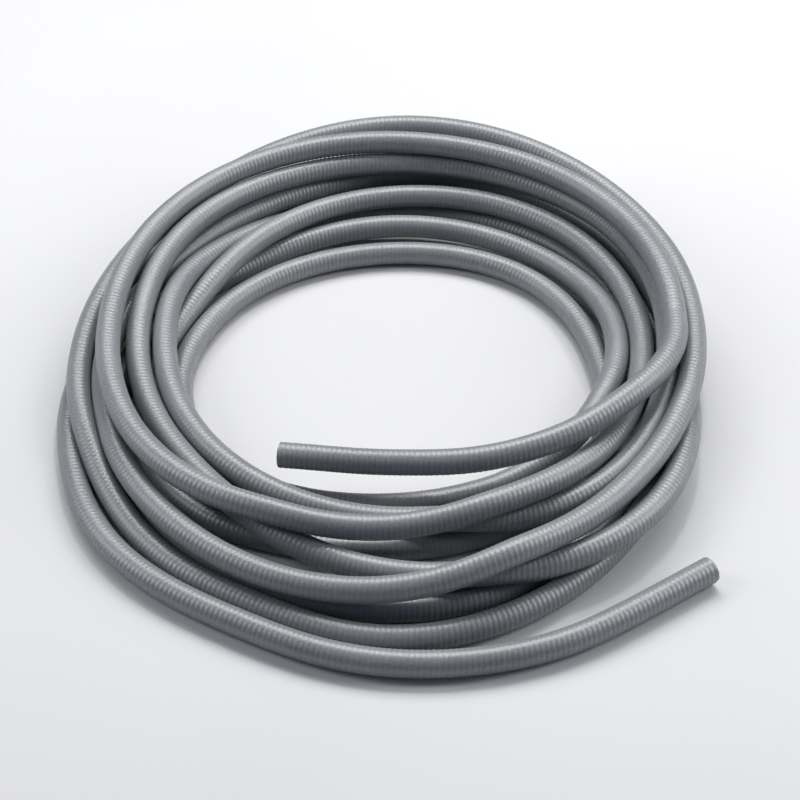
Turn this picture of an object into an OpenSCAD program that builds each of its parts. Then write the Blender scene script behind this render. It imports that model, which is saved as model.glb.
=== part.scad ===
// Coiled length of spiral-reinforced discharge hose with two plain cut ends.
// Millimetres, +Z up, the floor at Z = 0, the origin under the middle of the whole box.

/* [Hose] */
// Bore of the hose
bore_d = 19; // [15:0.1:24]
// Thickness of the smooth liner around the bore
liner_wall = 1; // [0.6:0.1:1.6]
// Radial thickness of the rigid helix
helix_wall = 1.6; // [1:0.1:2.2]
// Thickness of the soft cover over the helix
cover_wall = 1.25; // [0.8:0.05:2]
// Width of the rigid helix along the hose
helix_w = 2.6; // [1.6:0.1:3.2]
// Distance between two turns of the helix
helix_pitch = 5.2; // [4:0.1:7]

/* [Coil] */
// Radius of the open eye in the middle of the coil
eye_r = 206; // [170:1:250]
// Width of the pile of turns, from the eye to the outside
pile_w = 156; // [140:1:190]
// Height of the pile of turns
pile_h = 100; // [80:1:120]

/* [Cut ends] */
// Length of the straight part behind each cut
cut_len = 40; // [20:1:60]
// How far inside the edge of the eye the upper end lies
upper_inset = 12; // [10:1:40]

/* [Hidden] */

$fn = 96;
bore_r = bore_d / 2;
helix_in_r = bore_r + liner_wall;
helix_out_r = helix_in_r + helix_wall;
hose_r = helix_out_r + cover_wall;
hose_od = 2 * hose_r;
helix_bite = 0.05;       // how far the helix is moulded into the wall on either side
helix_steps = 24;        // straight steps in one turn of the helix
liner_gap = 0.05;        // keeps a fitting pushed into the liner clear of the solid run behind it
tube_sides = 12;
rings_per_span = 2;

// The turns of the pile as [across, up], each from 0 to 1. The first six run round its outside.
turn_lay = [
    [0, 0], [1, 0], [0.97, 0.42], [0.66, 1], [0.38, 0.78], [0.12, 0.4],
    [0.25, 0], [0.5, 0], [0.75, 0]];
outside_turns = 6;
outermost_turn = 1;
highest_turn = 3;

// The lower run leaves the outermost turn on the floor at the left and sweeps round the front.
// Each point is [degrees round the coil from +X, millimetres outside that turn].
lower_points = [
    [180, -20], [190, -10], [202, 1], [213, 15], [225, 28], [237, 34], [250, 41],
    [262, 56], [273, 66], [284, 71], [294, 72], [303, 70], [311, 73]];
// The upper run leaves the highest turn at the right and drops across the front of the eye.
// Each point is [degrees round the coil from +X, share of the way in to the upper end's place,
// drop as a share of the pile's height].
upper_points = [
    [2, 0, 0], [-7, 0.03, 0], [-17, 0.14, 0], [-29, 0.32, 0.02], [-42, 0.48, 0.07],
    [-54, 0.63, 0.12], [-67, 0.78, 0.17], [-82, 0.93, 0.22], [-97, 1, 0.27], [-110, 0.98, 0.3]];

// Centre of turn i of the pile as [distance from the coil's axis, height].
function turn_centre(i) =
    [eye_r + hose_r + turn_lay[i][0] * (pile_w - hose_od),
     hose_r + turn_lay[i][1] * (pile_h - hose_od)];

function at_place(angle, r, z) = [r * cos(angle), r * sin(angle), z];

outermost = turn_centre(outermost_turn);
highest = turn_centre(highest_turn);
way_in = highest[0] - (eye_r - upper_inset);
lower_route = [for (p = lower_points) at_place(p[0], outermost[0] + p[1], outermost[1])];
upper_route = [for (p = upper_points)
    at_place(p[0], highest[0] - p[1] * way_in, highest[1] - p[2] * pile_h)];

function unit(v) = v / norm(v);
function last(v) = v[len(v) - 1];

// Direction of a route at point i: along the chord of its neighbours, or straight at either end.
function heading(route, i) =
    unit(route[min(i + 1, len(route) - 1)] - route[max(i - 1, 0)]);

// A point on the smooth curve between points i and i + 1, with t from 0 to 1.
function on_span(route, i, t) =
    let (a = route[i], b = route[i + 1], reach = norm(b - a),
         u = heading(route, i) * reach, v = heading(route, i + 1) * reach)
    (2 * pow(t, 3) - 3 * pow(t, 2) + 1) * a + (pow(t, 3) - 2 * pow(t, 2) + t) * u
    + (3 * pow(t, 2) - 2 * pow(t, 3)) * b + (pow(t, 3) - pow(t, 2)) * v;

// Ring centres along a route.
function centres(route) = concat(
    [for (i = [0 : len(route) - 2]) for (k = [0 : rings_per_span - 1])
        on_span(route, i, k / rings_per_span)],
    [last(route)]);

// One ring of the tube around its centre, square to its heading.
function ring(centre, along) =
    let (side = unit(cross(along, [0, 0, 1])), up = cross(side, along))
    [for (k = [0 : tube_sides - 1]) let (a = 360 * k / tube_sides)
        centre + hose_r * (cos(a) * side + sin(a) * up)];

function rings(route) =
    let (c = centres(route))
    [for (i = [0 : len(c) - 1]) ring(c[i], heading(c, i))];

// The middle of the whole box, front to back, decides how far the coil's axis is from the origin.
run_front = min([for (r = rings(lower_route)) for (p = r) p[1]]);
axis_y = -(eye_r + pile_w + run_front) / 2;

module placed() {
    translate([0, axis_y, 0]) children();
}

module tube(rings) {
    n = tube_sides;
    m = len(rings);
    sides = [for (i = [0 : m - 2]) for (k = [0 : n - 1])
        [i * n + k, i * n + (k + 1) % n, (i + 1) * n + (k + 1) % n, (i + 1) * n + k]];
    start = [[for (k = [n - 1 : -1 : 0]) k]];
    end = [[for (k = [0 : n - 1]) (m - 1) * n + k]];
    polyhedron([for (r = rings) for (p = r) p], concat(sides, start, end));
}

// Stands its children, drawn up from Z = 0, on the end of a route.
module at_end(route) {
    c = centres(route);
    along = heading(c, len(c) - 1);
    translate(last(route)) rotate([0, acos(along[2]), atan2(along[1], along[0])]) children();
}

module sleeve(outer_r, inner_r, start = 0) {
    difference() {
        translate([0, 0, start]) cylinder(h = cut_len - start, r = outer_r);
        translate([0, 0, -1]) cylinder(h = cut_len + 2, r = inner_r);
    }
}

module helix() {
    turns = (cut_len - helix_w) / helix_pitch;
    steps = floor(turns * helix_steps);
    in_r = helix_in_r - helix_bite;
    out_r = (helix_out_r + helix_bite) / cos(180 / helix_steps);
    points = [for (i = [0 : steps]) let (a = 360 * i / helix_steps, z = helix_pitch * i / helix_steps)
        each [for (c = [[in_r, 0], [out_r, 0], [out_r, helix_w], [in_r, helix_w]])
            [c[0] * cos(a), c[0] * sin(a), z + c[1]]]];
    sides = [for (i = [0 : steps - 1]) for (k = [0 : 3])
        [i * 4 + k, i * 4 + (k + 1) % 4, i * 4 + 4 + (k + 1) % 4, i * 4 + 4 + k]];
    polyhedron(points, concat(sides, [[3, 2, 1, 0]], [[for (k = [0 : 3]) steps * 4 + k]]));
}

module coil() {
    color("slategray") placed() rotate_extrude() {
        for (i = [0 : len(turn_lay) - 1]) translate(turn_centre(i)) circle(r = hose_r);
        polygon([for (i = [0 : outside_turns - 1]) turn_centre(i)]);
    }
}

module lower_run() { color("lightslategray") placed() tube(rings(lower_route)); }
module upper_run() { color("lightslategray") placed() tube(rings(upper_route)); }

module lower_cover() { color("gray") placed() at_end(lower_route) sleeve(hose_r, helix_out_r); }
module lower_helix() { color("whitesmoke") placed() at_end(lower_route) helix(); }
module lower_liner() { color("silver") placed() at_end(lower_route) sleeve(helix_in_r, bore_r, liner_gap); }

module upper_cover() { color("gray") placed() at_end(upper_route) sleeve(hose_r, helix_out_r); }
module upper_helix() { color("whitesmoke") placed() at_end(upper_route) helix(); }
module upper_liner() { color("silver") placed() at_end(upper_route) sleeve(helix_in_r, bore_r, liner_gap); }

coil();
lower_run();
upper_run();
lower_cover();
lower_helix();
lower_liner();
upper_cover();
upper_helix();
upper_liner();
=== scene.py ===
"""A loose coil of grey spiral-reinforced hose with two plain cut ends, lying on a pale floor.

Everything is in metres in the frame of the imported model, unless it is said to be in hose diameters. The
hose is one hollow ribbed tube along one route. The lower run and the upper run lie where the CAD's runs
lie. The turns between them go through stations round the coil and are then pushed apart wherever two
strands came closer than a hose diameter.
"""
import math

import bpy
import numpy as np
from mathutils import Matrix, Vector


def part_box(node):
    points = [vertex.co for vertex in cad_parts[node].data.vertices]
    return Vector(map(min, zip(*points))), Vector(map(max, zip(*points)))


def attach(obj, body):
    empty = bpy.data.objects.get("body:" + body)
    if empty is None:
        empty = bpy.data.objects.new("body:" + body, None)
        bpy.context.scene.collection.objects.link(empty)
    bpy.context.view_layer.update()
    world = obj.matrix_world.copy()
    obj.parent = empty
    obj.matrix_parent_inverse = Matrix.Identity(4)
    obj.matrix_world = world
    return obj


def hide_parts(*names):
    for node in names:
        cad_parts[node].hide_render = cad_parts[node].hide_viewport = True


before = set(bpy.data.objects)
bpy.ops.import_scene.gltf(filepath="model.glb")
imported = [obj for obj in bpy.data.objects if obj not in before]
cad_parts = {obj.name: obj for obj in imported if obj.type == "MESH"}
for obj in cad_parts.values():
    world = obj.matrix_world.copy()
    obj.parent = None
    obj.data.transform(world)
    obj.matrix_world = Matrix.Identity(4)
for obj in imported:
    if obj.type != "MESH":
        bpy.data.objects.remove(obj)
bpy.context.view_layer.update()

# ---------------------------------------------------------------- sizes

HOSE_R = 0.01335
HOSE_D = 2 * HOSE_R
COVER_IN_R = 0.0121          # inside of the cover, outside of the helix
LINER_OUT_R = 0.0105
BORE_R = 0.0095
CUT_LEN = 0.040              # length of the straight part behind each cut
RIB_PITCH = 0.0052
RIB_DEPTH = 0.0004

coil_low, coil_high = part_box("coil")
AXIS = Vector(((coil_low.x + coil_high.x) / 2, (coil_low.y + coil_high.y) / 2, 0))

# ---------------------------------------------------------------- camera

CAMERA_DISTANCE = 1.978
CAMERA_ELEVATION = math.radians(40)

camera = bpy.data.objects.new("camera", bpy.data.cameras.new("camera"))
bpy.context.collection.objects.link(camera)
towards_camera = Vector((0, -math.cos(CAMERA_ELEVATION), math.sin(CAMERA_ELEVATION)))
camera.location = AXIS + CAMERA_DISTANCE * towards_camera
camera.rotation_euler = (math.pi / 2 - CAMERA_ELEVATION, 0, 0)
camera.data.lens = 81.9
camera.data.shift_x = 0.01625
camera.data.shift_y = -0.0225
bpy.context.scene.camera = camera

# ---------------------------------------------------------------- the hose's route

EYE_R = 0.206                # radius of the coil's open eye
PILE_W = 0.156               # width of the pile of turns
PILE_H = 0.100
UPPER_INSET = 0.012          # how far inside the edge of the eye the upper end lies

# The two runs as the CAD has them, from the pile outwards. The lower one leaves the outermost turn;
# each point is (degrees round the coil from +X, distance outside that turn).
LOWER_POINTS = [
    (180, -0.020), (190, -0.010), (202, 0.001), (213, 0.015), (225, 0.028), (237, 0.034), (250, 0.041),
    (262, 0.056), (273, 0.066), (284, 0.071), (294, 0.072), (303, 0.070), (311, 0.073)]
# The upper one leaves the highest turn; each point is (degrees, share of the way in to the upper
# end's place, drop as a share of the pile's height).
UPPER_POINTS = [
    (2, 0, 0), (-7, 0.03, 0), (-17, 0.14, 0), (-29, 0.32, 0.02), (-42, 0.48, 0.07),
    (-54, 0.63, 0.12), (-67, 0.78, 0.17), (-82, 0.93, 0.22), (-97, 1, 0.27), (-110, 0.98, 0.3)]
HIGHEST_ACROSS = 0.66        # where the highest turn lies across the pile, from the eye outwards

outermost_r = EYE_R + PILE_W - HOSE_R
highest_r = EYE_R + HOSE_R + HIGHEST_ACROSS * (PILE_W - HOSE_D)
way_in = highest_r - (EYE_R - UPPER_INSET)

# Both runs as (degrees round the coil from +X, distance from its axis, height), in the hose's own
# order: the lower one from its cut inwards, and the upper one out to its cut.
LOWER_RUN = [(degrees, outermost_r + out, HOSE_R) for degrees, out in LOWER_POINTS[::-1]]
UPPER_RUN = [(degrees, highest_r - share * way_in, PILE_H - HOSE_R - drop * PILE_H)
             for degrees, share, drop in UPPER_POINTS]

# The turns between them, in hose diameters: (distance from the coil's axis, height) at every 45
# degrees, clockwise from the front: front, front left, left, back left, back, back right, right,
# front right. The lower run stands for the first three places and the upper run for the last two.
TURNS = [
    [None, None, None, (13.1, 0.5),
     (13.0, 0.5), (12.3, 0.5), (11.5, 0.5), (12.6, 0.5)],
    [(14.5, 0.5), (13.05, 0.5), (12.2, 1.4), (12.9, 2.2),
     (13.95, 3.4), (13.3, 3.05), (12.0, 2.3), (12.1, 1.8)],
    [(13.2, 1.4), (12.2, 1.4), (11.35, 1.5), (11.0, 1.6),
     (12.9, 1.45), (12.7, 1.4), (11.6, 1.4), (13.2, 1.5)],
    [(11.9, 1.1), (9.9, 1.35), (10.0, 1.6), (11.35, 2.4),
     (12.55, 2.25), (12.4, 2.4), (11.5, 2.2), (11.1, 1.6)],
    [(9.3, 0.9), (8.8, 1.4), (8.9, 1.6), (10.3, 1.4),
     (11.35, 0.5), (11.3, 0.5), (10.3, 0.5), (11.7, 0.5)],
    [(13.0, 0.5), (11.95, 0.5), (10.6, 0.5), (9.4, 0.75),
     (9.75, 0.9), (9.95, 0.85), (9.3, 1.2), (8.2, 0.6)],
    [(7.8, 0.5), (8.4, 0.5), (8.3, 0.5), (8.05, 0.5),
     (8.2, 0.5), (8.75, 0.5), (8.7, 0.5), (9.8, 0.5)],
    [(10.0, 0.5), (10.75, 0.5), (9.5, 0.5), (9.3, 1.3),
     (11.05, 1.5), (11.3, 1.6), (10.2, 1.6), (10.2, 1.8)],
    [(10.4, 1.5), (11.1, 2.2), (11.1, 2.5), (12.2, 3.1),
     (12.85, 3.2), (12.3, 3.3), None, None]]
STATION_STEP = 45
FRONT = 270                  # degrees from +X of the front, where each turn begins
ANGLE_STEP = 0.5             # degrees between two points of the first route
CUT_STATIONS = (0.5, 1)      # places along the straight end behind each cut, as shares of its length
LOWER_CUT_NEAR = -45         # about where the two cuts lie, in degrees clockwise from the front
UPPER_CUT_NEAR = 30

# Settling, with every length in hose diameters.
ON_FLOOR = 0.5               # height of a strand that lies on the floor
NODE_GAP = 0.3               # distance between two points of the settled route
SETTLE_ROUNDS = 160
WATCH_EVERY = 8              # rounds between two looks at which strands are close
NEAR = 1.35                  # strands this close are watched
SAME_STRAND = 3.2            # points closer than this along the hose never push each other
PUSH = 0.7                   # share of an overlap that one round takes away
HOLD = 0.02                  # share of its sideways shift that a point loses in the first round
SMOOTH_UNTIL = 0.8           # share of the rounds that smooth the route three times and not once
BLOCK = 256                  # points compared at once


def unit(v):
    return v / np.linalg.norm(v)


def place(degrees, r, z):
    """The point at that angle from +X round the coil's axis."""
    a = math.radians(degrees)
    return np.array([r * math.cos(a), r * math.sin(a), z])


def cut_direction(run):
    """Direction of the straight end behind the last point of a run, as the CAD has it."""
    before, a, b = run[-3:]
    reach = np.linalg.norm(b - a)
    # The CAD's curve halfway along its last span.
    middle = (a + b) / 2 + (unit(b - before) - unit(b - a)) * reach / 8
    return unit(b - middle)


def turned(point, near):
    """A point as (degrees clockwise from the front, distance, height), in hose diameters."""
    degrees = FRONT - math.degrees(math.atan2(point[1], point[0]))
    degrees += 360 * round((near - degrees) / 360)
    return degrees, math.hypot(point[0], point[1]) / HOSE_D, point[2] / HOSE_D


def natural_spline(x, y, at):
    """The natural cubic spline through rows y at x, evaluated at the given places."""
    n = len(x)
    h = np.diff(x)
    inner = np.arange(1, n - 1)
    matrix = np.eye(n)
    matrix[inner, inner - 1] = h[:-1]
    matrix[inner, inner] = 2 * (h[:-1] + h[1:])
    matrix[inner, inner + 1] = h[1:]
    slope = np.diff(y, axis=0) / h[:, None]
    right = np.zeros_like(y)
    right[1:-1] = 6 * np.diff(slope, axis=0)
    bend = np.linalg.solve(matrix, right)
    k = np.clip(np.searchsorted(x, at, side="right") - 1, 0, n - 2)
    t = (at - x[k])[:, None]
    span = h[k][:, None]
    u = span - t
    return (bend[k] * u**3 / (6 * span) + bend[k + 1] * t**3 / (6 * span)
            + (y[k] / span - bend[k] * span / 6) * u + (y[k + 1] / span - bend[k + 1] * span / 6) * t)


def arc_length(points):
    """How far along a polyline each of its points lies."""
    return np.append(0, np.cumsum(np.linalg.norm(np.diff(points, axis=0), axis=1)))


def spread_evenly(points, gap):
    """Points at an even distance along a polyline, and where they fall on its own numbering."""
    along = arc_length(points)
    at = np.linspace(0, along[-1], int(round(along[-1] / gap)) + 1)
    spread = np.stack([np.interp(at, along, c) for c in points.T], 1)
    return spread, np.interp(at, along, np.arange(len(points)))


def first_route():
    """The route through all the stations in hose diameters, with each point's angle clockwise."""
    lower = [place(*p) for p in LOWER_RUN]
    upper = [place(*p) for p in UPPER_RUN]
    lower_way, upper_way = cut_direction(lower[::-1]), cut_direction(upper)
    last_turn = 360 * (len(TURNS) - 1)
    stations = [turned(lower[0] + lower_way * CUT_LEN * k, LOWER_CUT_NEAR) for k in CUT_STATIONS[::-1]]
    stations += [(FRONT - degrees, r / HOSE_D, z / HOSE_D) for degrees, r, z in LOWER_RUN]
    for turn, row in enumerate(TURNS):
        stations += [(360 * turn + STATION_STEP * i, *spot) for i, spot in enumerate(row) if spot]
    stations += [(last_turn + FRONT - degrees, r / HOSE_D, z / HOSE_D) for degrees, r, z in UPPER_RUN]
    upper_near = last_turn + 360 + UPPER_CUT_NEAR
    stations += [turned(upper[-1] + upper_way * CUT_LEN * k, upper_near) for k in CUT_STATIONS]
    stations = np.array(stations)
    angle = np.append(np.arange(stations[0, 0], stations[-1, 0], ANGLE_STEP), stations[-1, 0])
    r, z = natural_spline(stations[:, 0], stations[:, 1:], angle).T
    a = np.radians(FRONT - angle)
    points = np.stack([r * np.cos(a), r * np.sin(a), np.maximum(z, ON_FLOOR)], 1)
    points, index = spread_evenly(points, NODE_GAP)
    return points, np.interp(index, np.arange(len(angle)), angle)


def near_pairs(points):
    """Pairs of points on different strands that are close to each other."""
    skip = int(SAME_STRAND / NODE_GAP)
    firsts, seconds = [], []
    for start in range(0, len(points), BLOCK):
        squared = ((points[start:start + BLOCK, None] - points[None]) ** 2).sum(2)
        i, j = np.nonzero(squared < NEAR**2)
        i += start
        apart = j - i > skip
        firsts.append(i[apart])
        seconds.append(j[apart])
    return np.concatenate(firsts), np.concatenate(seconds)


def settled(start, angle):
    """The route with strands that were too close pushed apart. Both runs stay where they are."""
    lower_end = FRONT - LOWER_RUN[-1][0]
    upper_end = 360 * (len(TURNS) - 1) + FRONT - UPPER_RUN[0][0]
    free = (angle > lower_end) & (angle < upper_end)
    shift = np.zeros_like(start)
    for settle_round in range(SETTLE_ROUNDS):
        share = settle_round / SETTLE_ROUNDS
        points = start + shift
        if settle_round % WATCH_EVERY == 0:
            first, second = near_pairs(points)
        way = points[second] - points[first]
        gap = np.linalg.norm(way, axis=1)
        tight = gap < 1
        i, j = first[tight], second[tight]
        push = way[tight] * ((1 - gap[tight]) / gap[tight] / 2)[:, None]
        moved, count = np.zeros_like(start), np.zeros(len(start))
        for index, by in ((i, -push), (j, push)):
            np.add.at(moved, index, by)
            np.add.at(count, index, 1)
        shift += PUSH * moved / np.sqrt(np.maximum(count, 1))[:, None]
        shift[:, :2] *= 1 - HOLD * (1 - share)
        for _ in range(3 if share < SMOOTH_UNTIL else 1):
            shift[1:-1] += (shift[:-2] + shift[2:] - 2 * shift[1:-1]) / 4
        shift[:, 2] = np.maximum(shift[:, 2], ON_FLOOR - start[:, 2])
        shift[~free] = 0
    return start + shift


route, route_angle = first_route()
route = settled(route, route_angle) * HOSE_D + np.array(AXIS)
route_arc = arc_length(route)
HOSE_LENGTH = float(route_arc[-1])

# ---------------------------------------------------------------- the hose's mesh

SIDES = 12
ROWS_PER_RIB = 4
RIB_SHAPE = ([0, 0.25, 0.5, 0.75, 1], [0, 0.3, 1, 0.3, 0])    # depth below the crest over one pitch
BORE_RING_GAP = 0.012        # distance between two rings of the bore
LINE_GAP = 0.002             # distance between two points of the finer centreline
SHARP_EDGE = math.radians(60)

# The centreline again in finer steps, with a side direction and an up direction at each point.
line_at = np.linspace(0, HOSE_LENGTH, int(HOSE_LENGTH / LINE_GAP) + 1)
line = natural_spline(route_arc, route, line_at)
line_way = np.gradient(line, axis=0)
line_way /= np.linalg.norm(line_way, axis=1)[:, None]
line_side = np.cross(line_way, [0, 0, 1])
line_side /= np.linalg.norm(line_side, axis=1)[:, None]
line_up = np.cross(line_side, line_way)


def on_hose(s, turn, radius):
    """Points at arc length s, at that share of a turn round the hose, at that radius."""
    def read(rows):
        return np.stack([np.interp(s, line_at, c) for c in rows.T], 1)
    a = 2 * np.pi * turn[:, None]
    outward = np.cos(a) * read(line_side) + np.sin(a) * read(line_up)
    return read(line) + radius[:, None] * outward


def groove_at(s, turn):
    """How deep the ribbed skin lies below its crests there, from 0 to 1."""
    return np.interp((s / RIB_PITCH - turn) % 1, *RIB_SHAPE)


def hose_mesh():
    """The whole hose as one closed hollow tube. The rows of its skin run along the helical ribs."""
    n, k = SIDES, ROWS_PER_RIB
    row_gap = RIB_PITCH / k
    last_row = math.ceil(HOSE_LENGTH / row_gap)
    row = np.repeat(np.arange(-k, last_row + k + 1), n)
    side = np.tile(np.arange(n), last_row + 2 * k + 1)
    s = row * row_gap + side / n * RIB_PITCH
    # A vertex past either cut stands on it, and is the same one as the others there.
    kept = np.arange(len(row))
    kept[s <= 0] = side[s <= 0]
    kept[s >= HOSE_LENGTH] = (last_row + k) * n + side[s >= HOSE_LENGTH]
    s = np.clip(s, 0, HOSE_LENGTH)
    turn = side / n
    groove = groove_at(s, turn)
    vertices = on_hose(s, turn, HOSE_R - RIB_DEPTH * groove)

    i = np.repeat(np.arange(last_row + k), n)
    j = np.tile(np.arange(n), last_row + k)
    here = i * n + j
    across = np.where(j < n - 1, here + 1, here + 1 - n + k * n)
    quads = kept[np.stack([here, across, across + n, here + n], 1)]

    # The inside: the cover's inner wall behind each cut, then the bore.
    inner = [(0, COVER_IN_R), (CUT_LEN, COVER_IN_R), (CUT_LEN, BORE_R)]
    bore_rings = int((HOSE_LENGTH - 2 * CUT_LEN) / BORE_RING_GAP)
    bore = [(x, BORE_R) for x in np.linspace(CUT_LEN, HOSE_LENGTH - CUT_LEN, bore_rings + 1)[1:-1]]
    inner += bore + [(HOSE_LENGTH - x, r) for x, r in inner[::-1]]
    inner_s = np.repeat([x for x, _ in inner], n)
    inner_r = np.repeat([r for _, r in inner], n)
    inner_turn = np.tile(np.arange(n) / n, len(inner))
    base = len(vertices)
    rings = [np.arange(n)]
    rings += [base + q * n + np.arange(n) for q in range(len(inner))]
    rings += [(last_row + k) * n + np.arange(n)]
    walls = [np.stack([a, b, np.roll(b, -1), np.roll(a, -1)], 1) for a, b in zip(rings, rings[1:])]
    vertices = np.concatenate([vertices, on_hose(inner_s, inner_turn, inner_r)])
    # The inside is given the full groove depth, so the painted groove shade in the cover's colour darkens
    # all of it.
    groove = np.concatenate([groove, np.ones(len(inner_s))])
    faces = np.concatenate([quads] + walls)

    used, faces = np.unique(faces, return_inverse=True)
    faces = faces.reshape(-1, 4)
    faces = [list(dict.fromkeys(f)) for f in faces.tolist()]
    mesh = bpy.data.meshes.new("hose")
    mesh.from_pydata(vertices[used].tolist(), [], [f for f in faces if len(f) > 2])
    # The groove depth is kept for the cover's colour, where it paints shade into the grooves and light
    # onto the crests.
    attribute = mesh.attributes.new("groove", "FLOAT", "POINT")
    attribute.data.foreach_set("value", groove[used].astype(np.float32))
    mesh.shade_smooth()
    mesh.set_sharp_from_angle(angle=SHARP_EDGE)
    return mesh


hose = bpy.data.objects.new("hose", hose_mesh())
bpy.context.collection.objects.link(hose)

# ---------------------------------------------------------------- the soft wall at each cut

WALL_SET_BACK = 0.0004       # how far the soft wall between the layers lies behind the cut
WALL_SIDES = 64


def wall_ring(name, s, into):
    """The soft wall between liner and cover at the cut at arc length s; into is 1 or -1, its way in."""
    profile = [(COVER_IN_R, CUT_LEN / 2), (COVER_IN_R, WALL_SET_BACK), (LINER_OUT_R, WALL_SET_BACK),
               (LINER_OUT_R, CUT_LEN / 2)]
    turn = np.arange(WALL_SIDES) / WALL_SIDES
    rings = [on_hose(np.full(WALL_SIDES, s + into * back), turn, np.full(WALL_SIDES, r))
             for r, back in profile]
    faces = []
    for q in range(len(profile)):
        here, after = q * WALL_SIDES, (q + 1) % len(profile) * WALL_SIDES
        for a in range(WALL_SIDES):
            b = (a + 1) % WALL_SIDES
            faces.append([here + a, here + b, after + b, after + a])
    mesh = bpy.data.meshes.new(name)
    mesh.from_pydata(np.concatenate(rings).tolist(), [], faces)
    ring = bpy.data.objects.new(name, mesh)
    bpy.context.collection.objects.link(ring)
    return ring


lower_wall = wall_ring("lower_wall", 0, 1)
upper_wall = wall_ring("upper_wall", HOSE_LENGTH, -1)

# ---------------------------------------------------------------- materials


def new_material(name):
    material = bpy.data.materials.new(name)
    material.use_nodes = True
    nodes = material.node_tree.nodes
    return material, nodes, material.node_tree.links, nodes["Principled BSDF"]


def noise(nodes, links, scale, detail, roughness=0.5):
    coords = nodes.new("ShaderNodeTexCoord")
    texture = nodes.new("ShaderNodeTexNoise")
    texture.inputs["Scale"].default_value = scale
    texture.inputs["Detail"].default_value = detail
    texture.inputs["Roughness"].default_value = roughness
    links.new(coords.outputs["Object"], texture.inputs["Vector"])
    return texture.outputs["Fac"]


def ramp(nodes, links, value, stops):
    """A colour ramp over a value; each stop is (position, colour)."""
    node = nodes.new("ShaderNodeValToRGB")
    while len(node.color_ramp.elements) < len(stops):
        node.color_ramp.elements.new(0.5)
    for element, (position, colour) in zip(node.color_ramp.elements, stops):
        element.position = position
        element.color = (*colour, 1)
    links.new(value, node.inputs["Fac"])
    return node.outputs["Color"]


MIX_COLOURS_IN = (6, 7)      # the colour sockets of a Mix node, which share their names with others
MIX_COLOUR_OUT = 2


def multiplied(nodes, links, a, b):
    node = nodes.new("ShaderNodeMix")
    node.data_type = "RGBA"
    node.blend_type = "MULTIPLY"
    node.inputs["Factor"].default_value = 1
    for socket, colour in zip(MIX_COLOURS_IN, (a, b)):
        links.new(colour, node.inputs[socket])
    return node.outputs[MIX_COLOUR_OUT]


def ranged(nodes, links, value, low, high):
    """A value from 0 to 1, stretched to run from low to high."""
    node = nodes.new("ShaderNodeMapRange")
    node.inputs["To Min"].default_value = low
    node.inputs["To Max"].default_value = high
    links.new(value, node.inputs["Value"])
    return node.outputs["Result"]


def bumped(nodes, links, value, strength, distance):
    node = nodes.new("ShaderNodeBump")
    node.inputs["Strength"].default_value = strength
    node.inputs["Distance"].default_value = distance
    links.new(value, node.inputs["Height"])
    return node.outputs["Normal"]


def cover_material():
    """Satin grey soft PVC, faintly mottled, with painted shade that makes it duller and bluer in the
    grooves and painted light that makes it a little lighter on the crests.
    """
    material, nodes, links, shader = new_material("hose_cover")
    broad = noise(nodes, links, 9, 3)
    fine = noise(nodes, links, 420, 4, 0.6)
    colour = ramp(nodes, links, broad, [(0.3, (0.202, 0.211, 0.220)), (0.7, (0.245, 0.255, 0.264))])
    speck = ramp(nodes, links, fine, [(0.35, (0.90, 0.90, 0.90)), (0.65, (1.06, 1.06, 1.06))])
    colour = multiplied(nodes, links, colour, speck)
    # Painted shade and light: the groove depth darkens and cools the colour towards each groove's bottom
    # and all over the hose's inside, and lifts it a little on the crests.
    groove = nodes.new("ShaderNodeAttribute")
    groove.attribute_name = "groove"
    shade = ramp(nodes, links, groove.outputs["Fac"],
                 [(0.0, (1.03, 1.03, 1.03)), (1.0, (0.92, 0.925, 0.94))])
    colour = multiplied(nodes, links, colour, shade)
    links.new(colour, shader.inputs["Base Color"])
    links.new(ranged(nodes, links, fine, 0.34, 0.48), shader.inputs["Roughness"])
    links.new(bumped(nodes, links, fine, 0.12, 0.0004), shader.inputs["Normal"])
    shader.inputs["Specular IOR Level"].default_value = 1.0
    shader.inputs["Sheen Weight"].default_value = 0.05
    return material


def helix_material():
    """Rigid pale PVC with saw marks where it is cut."""
    material, nodes, links, shader = new_material("helix_plastic")
    broad = noise(nodes, links, 60, 3)
    fine = noise(nodes, links, 900, 5, 0.7)
    links.new(ramp(nodes, links, broad, [(0.3, (0.50, 0.51, 0.50)), (0.7, (0.62, 0.62, 0.60))]),
              shader.inputs["Base Color"])
    links.new(ranged(nodes, links, fine, 0.30, 0.50), shader.inputs["Roughness"])
    links.new(bumped(nodes, links, fine, 0.15, 0.0003), shader.inputs["Normal"])
    return material


def liner_material():
    """Smooth dark grey soft PVC."""
    material, nodes, links, shader = new_material("liner_pvc")
    broad = noise(nodes, links, 40, 3)
    fine = noise(nodes, links, 700, 4, 0.6)
    links.new(ramp(nodes, links, broad, [(0.3, (0.15, 0.155, 0.165)), (0.7, (0.20, 0.205, 0.215))]),
              shader.inputs["Base Color"])
    links.new(ranged(nodes, links, fine, 0.36, 0.52), shader.inputs["Roughness"])
    links.new(bumped(nodes, links, fine, 0.12, 0.0003), shader.inputs["Normal"])
    return material


def floor_material():
    """Pale matt board, almost white, with the faintest unevenness."""
    material, nodes, links, shader = new_material("floor_board")
    broad = noise(nodes, links, 1.5, 2)
    links.new(ramp(nodes, links, broad, [(0.3, (0.626, 0.626, 0.628)), (0.7, (0.650, 0.650, 0.652))]),
              shader.inputs["Base Color"])
    shader.inputs["Roughness"].default_value = 0.75
    shader.inputs["Specular IOR Level"].default_value = 0.2
    return material


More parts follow.
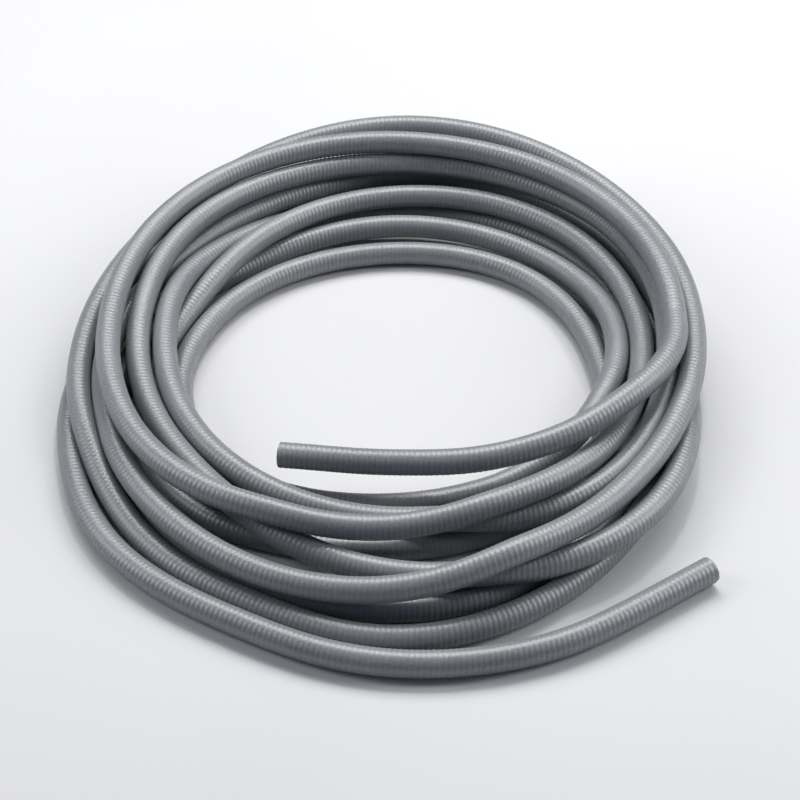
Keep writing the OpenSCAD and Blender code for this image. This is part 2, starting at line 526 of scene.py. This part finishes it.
def wear(piece, material):
    piece.data.materials.clear()
    piece.data.materials.append(material)


COVER, HELIX, LINER = cover_material(), helix_material(), liner_material()
for piece in (hose, lower_wall, upper_wall):
    wear(piece, COVER)
for name, material in (("lower_helix", HELIX), ("upper_helix", HELIX), ("lower_liner", LINER),
                       ("upper_liner", LINER)):
    wear(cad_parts[name], material)

# ---------------------------------------------------------------- floor and light

FLOOR_HALF = 12

floor_mesh = bpy.data.meshes.new("floor")
floor_corners = [(x * FLOOR_HALF, y * FLOOR_HALF, 0) for x, y in ((-1, -1), (1, -1), (1, 1), (-1, 1))]
floor_mesh.from_pydata(floor_corners, [], [(0, 1, 2, 3)])
floor = bpy.data.objects.new("floor", floor_mesh)
bpy.context.collection.objects.link(floor)
floor_mesh.materials.append(floor_material())


def area_light(name, location, width, height, power):
    """A rectangular light of slightly warm white that faces the origin."""
    light = bpy.data.lights.new(name, "AREA")
    light.shape = "RECTANGLE"
    light.size = width
    light.size_y = height
    light.energy = power
    light.color = (1.0, 0.988, 0.975)
    lamp = bpy.data.objects.new(name, light)
    bpy.context.collection.objects.link(lamp)
    lamp.location = location
    lamp.rotation_euler = (-Vector(location)).to_track_quat("-Z", "Y").to_euler()


area_light("window", (0.2, 1.8, 2.8), 4.6, 1.4, 98)
area_light("left", (-2.6, 0.0, 1.7), 0.8, 2.2, 28)
area_light("right", (2.6, 0.0, 1.7), 0.8, 2.2, 36)
area_light("lamp", (0.3, 1.1, 2.6), 0.2, 0.2, 11)

world = bpy.data.worlds.new("studio")
bpy.context.scene.world = world
world.use_nodes = True
background = world.node_tree.nodes["Background"]
background.inputs["Color"].default_value = (0.70, 0.80, 1.0, 1)
background.inputs["Strength"].default_value = 0.18

bpy.context.scene.view_settings.view_transform = "Standard"
bpy.context.scene.view_settings.look = "Medium High Contrast"

# ---------------------------------------------------------------- what stands for what

for piece in (hose, lower_wall, upper_wall):
    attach(piece, "root")
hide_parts("coil", "lower_run", "upper_run", "lower_cover", "upper_cover")
